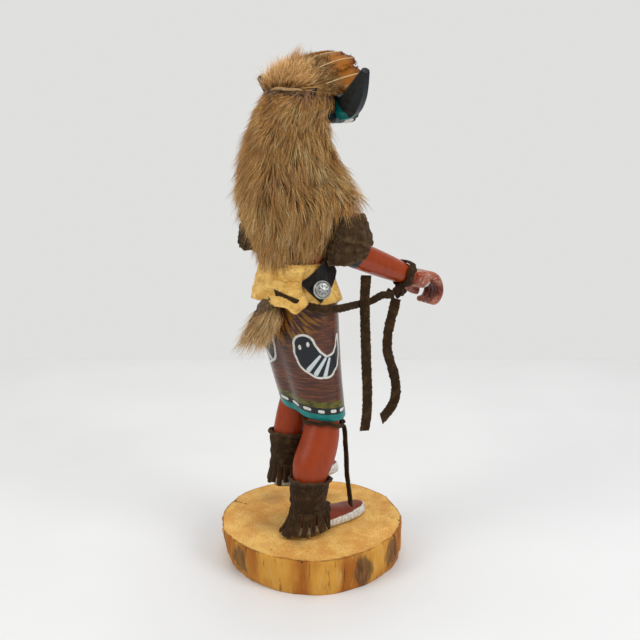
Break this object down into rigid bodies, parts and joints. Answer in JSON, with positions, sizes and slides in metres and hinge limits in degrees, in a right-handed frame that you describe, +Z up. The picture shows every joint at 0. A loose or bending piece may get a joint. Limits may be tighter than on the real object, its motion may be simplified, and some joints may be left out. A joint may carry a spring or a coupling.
{
  "type": "kachina doll",
  "caption": "Carved and painted dancer doll in a horned animal mask with fur pelt, feathers, belt, suede laces and fringed boots, standing on a round log slice.",
  "frame": {"origin": "middle of the log slice's underside", "axes": "+Z up, the figure faces -Y and its right hand is on the -X side"},
  "size_m": [0.1278, 0.1329, 0.3427],
  "materials": {
    "log_wood": "sawn end grain, bare and dry, with checks and bark remnants",
    "painted_wood": "red-brown satin paint on carved wood, with a painted kilt border",
    "mask_paint": "black satin paint",
    "horn_paint": "charcoal paint over whittled facets, turquoise root band",
    "suede": "dark brown suede, napped, with cut edges",
    "chamois": "soft yellow chamois, creased",
    "black_leather": "smooth black leather",
    "silver": "domed and stamped, dull silver",
    "fur": "tan, brown and grey rabbit fur",
    "feather": "rust-orange feather with dark tips and grey down"
  },
  "bodies": {
    "root": {"log_base": "log_wood", "figure": "painted_wood", "mask": "mask_paint", "horn_right": "horn_paint", "horn_left": "horn_paint", "arm_right": "painted_wood", "arm_left": "painted_wood", "arm_wrap_right": "suede", "arm_wrap_left": "suede", "wristband_right": "suede", "wristband_left": "suede", "belt": "chamois", "belt_tab": "black_leather", "tab_stud": "silver", "fur_pelt": "fur", "crown_fur": "fur", "feather_1": "feather", "feather_2": "feather", "feather_3": "feather", "feather_4": "feather", "feather_5": "feather", "feather_6": "feather", "tail_tuft": "fur", "boot_cuff_right": "suede", "boot_cuff_left": "suede", "knee_band": "suede", "arm_lace": "suede", "wrist_lace": "suede", "waist_lace": "suede", "knee_lace": "suede"}
  },
  "joints": []
}
